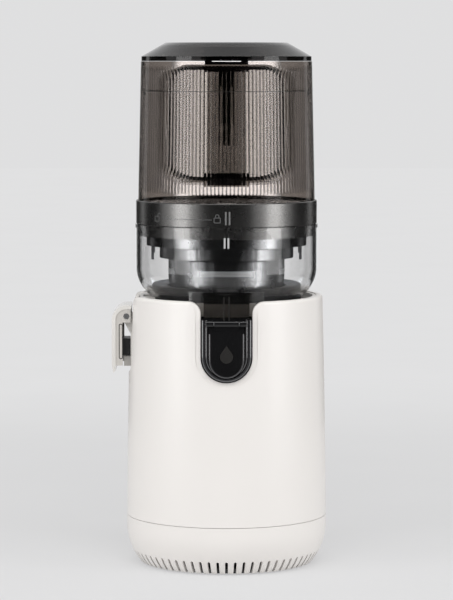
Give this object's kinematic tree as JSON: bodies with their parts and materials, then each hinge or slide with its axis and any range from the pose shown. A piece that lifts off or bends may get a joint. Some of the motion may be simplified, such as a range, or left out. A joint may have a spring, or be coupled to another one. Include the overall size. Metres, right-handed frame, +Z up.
{
  "type": "cold press juicer",
  "caption": "Tall vertical slow juicer: round motor base, clear juicing bowl with front spout and side pulp lever, lock ring and fluted smoked hopper with rear handle and hinged lid.",
  "frame": {"origin": "on the drive axis, in the plane of the rubber foot ring's underside", "axes": "+Z up along the drive axis; the juice spout faces -Y; the pulp lever is at -X; handle and lid hinge at +Y"},
  "size_m": [0.1895, 0.1949, 0.46],
  "materials": {
    "white_shell": "satin warm white moulded shell",
    "grey_plastic": "moulded",
    "rubber": "moulded rubber",
    "steel": "plain turned steel",
    "cast_metal": "die cast",
    "copper": "enamelled winding",
    "gear_plastic": "moulded acetal",
    "board": "printed board",
    "black_plastic": "fine grain",
    "ring_grey": "satin metallic grey",
    "clear_bowl": "clear moulded, faint smoke",
    "silicone": "silicone",
    "black_gloss": "high gloss",
    "smoke_duct": "smoked clear",
    "lever_plastic": "satin",
    "basket_grey": "satin dark grey",
    "mesh_steel": "fine perforated sheet",
    "auger_plastic": "satin dark grey",
    "mark_grey": "raised mark",
    "cheek_plastic": "satin",
    "smoke_hopper": "smoked clear, fluted",
    "smoke_pocket": "smoked clear",
    "smoke_lid": "dark smoked clear"
  },
  "bodies": {
    "base": {"main_housing": "white_shell", "base_cover": "white_shell", "bottom_plate": "grey_plastic", "rubber_foot_ring": "rubber", "bottom_screws": "steel", "motor_frame": "cast_metal", "motor_can": "steel", "stator_core": "steel", "stator_windings": "copper", "motor_bearings": "steel", "ring_gear": "gear_plastic", "gearbox_housing": "grey_plastic", "output_bearing": "steel", "top_deck": "white_shell", "shaft_seal": "rubber", "board_bracket": "grey_plastic", "control_board": "board", "dial_switch": "black_plastic", "dial_bezel": "ring_grey", "cord_gland": "rubber", "interlock_switch": "black_plastic"},
    "rotor": {"motor_rotor": "steel", "sun_gear": "steel", "fan": "grey_plastic"},
    "carrier": {"planet_carrier": "steel"},
    "planet_1": {"planet_gear_1": "gear_plastic"},
    "planet_2": {"planet_gear_2": "gear_plastic"},
    "planet_3": {"planet_gear_3": "gear_plastic"},
    "dial": {"power_dial": "ring_grey"},
    "chamber": {"juice_bowl": "clear_bowl", "bowl_seals": "silicone", "spout_shroud": "black_gloss", "juice_cap_pin": "steel", "spout_duct": "smoke_duct", "pulp_chute": "lever_plastic", "lever_pin": "steel", "lever_spring": "steel", "strainer_basket": "basket_grey", "strainer_mesh": "mesh_steel"},
    "screw": {"auger": "auger_plastic", "feed_wing": "auger_plastic"},
    "cap": {"juice_cap": "black_gloss", "juice_cap_seal": "silicone", "drop_mark": "mark_grey"},
    "lever": {"pulp_lever": "lever_plastic", "lever_cheeks": "cheek_plastic", "pulp_plug": "silicone", "latch_link": "cheek_plastic"},
    "hopper": {"hopper_ring": "ring_grey", "hopper_shell": "smoke_hopper", "hopper_collar": "smoke_hopper", "handle_pocket": "smoke_pocket", "handle_bar": "smoke_hopper", "handle_foot": "black_plastic", "rod_spring": "steel", "hinge_block": "black_plastic", "lid_hinge_pin": "steel", "lid_spring": "steel"},
    "lid": {"lid": "smoke_lid"},
    "rod": {"interlock_rod": "black_plastic"}
  },
  "joints": [
    {"name": "rotor_spin", "type": "hinge", "parent": "base", "child": "rotor", "pos_m": [0, 0, 0.07], "axis": [0, 0, 1], "continuous": true},
    {"name": "carrier_spin", "type": "hinge", "parent": "base", "child": "carrier", "pos_m": [0, 0, 0.15], "axis": [0, 0, 1], "continuous": true},
    {"name": "planet_1_spin", "type": "hinge", "parent": "carrier", "child": "planet_1", "pos_m": [0.0225, 0, 0.135], "axis": [0, 0, 1], "continuous": true},
    {"name": "planet_2_spin", "type": "hinge", "parent": "carrier", "child": "planet_2", "pos_m": [-0.01125, 0.01949, 0.135], "axis": [0, 0, 1], "continuous": true},
    {"name": "planet_3_spin", "type": "hinge", "parent": "carrier", "child": "planet_3", "pos_m": [-0.01125, -0.01949, 0.135], "axis": [0, 0, 1], "continuous": true},
    {"name": "dial_turn", "type": "hinge", "parent": "base", "child": "dial", "pos_m": [0, 0.095, 0.1], "axis": [0, 1, 0], "range_deg": [-45, 45]},
    {"name": "chamber_lift", "type": "slide", "parent": "base", "child": "chamber", "axis": [0, 0, 1], "range_m": [0, 0.08]},
    {"name": "screw_spin", "type": "hinge", "parent": "chamber", "child": "screw", "pos_m": [0, 0, 0.27], "axis": [0, 0, 1], "continuous": true},
    {"name": "cap_flip", "type": "hinge", "parent": "chamber", "child": "cap", "pos_m": [0, -0.0885, 0.2198], "axis": [-1, 0, 0], "range_deg": [0, 100]},
    {"name": "lever_swing", "type": "hinge", "parent": "chamber", "child": "lever", "pos_m": [-0.0882, 0, 0.2202], "axis": [0, 1, 0], "range_deg": [0, 60]},
    {"name": "hopper_twist", "type": "hinge", "parent": "chamber", "child": "hopper", "pos_m": [0, 0, 0.31], "axis": [0, 0, 1], "range_deg": [0, 50]},
    {"name": "lid_open", "type": "hinge", "parent": "hopper", "child": "lid", "pos_m": [0, 0.076, 0.4472], "axis": [-1, 0, 0], "range_deg": [0, 100]},
    {"name": "rod_rise", "type": "slide", "parent": "hopper", "child": "rod", "axis": [0, 0, 1], "range_m": [0, 0.003]}
  ],
  "couplings": [
    {"joint": "carrier_spin", "follows": "rotor_spin", "ratio": 0.2},
    {"joint": "planet_1_spin", "follows": "rotor_spin", "ratio": -0.53333},
    {"joint": "planet_2_spin", "follows": "rotor_spin", "ratio": -0.53333},
    {"joint": "planet_3_spin", "follows": "rotor_spin", "ratio": -0.53333},
    {"joint": "screw_spin", "follows": "rotor_spin", "ratio": 0.2},
    {"joint": "rod_rise", "follows": "lid_open", "m_per_rad": 0.00171}
  ]
}
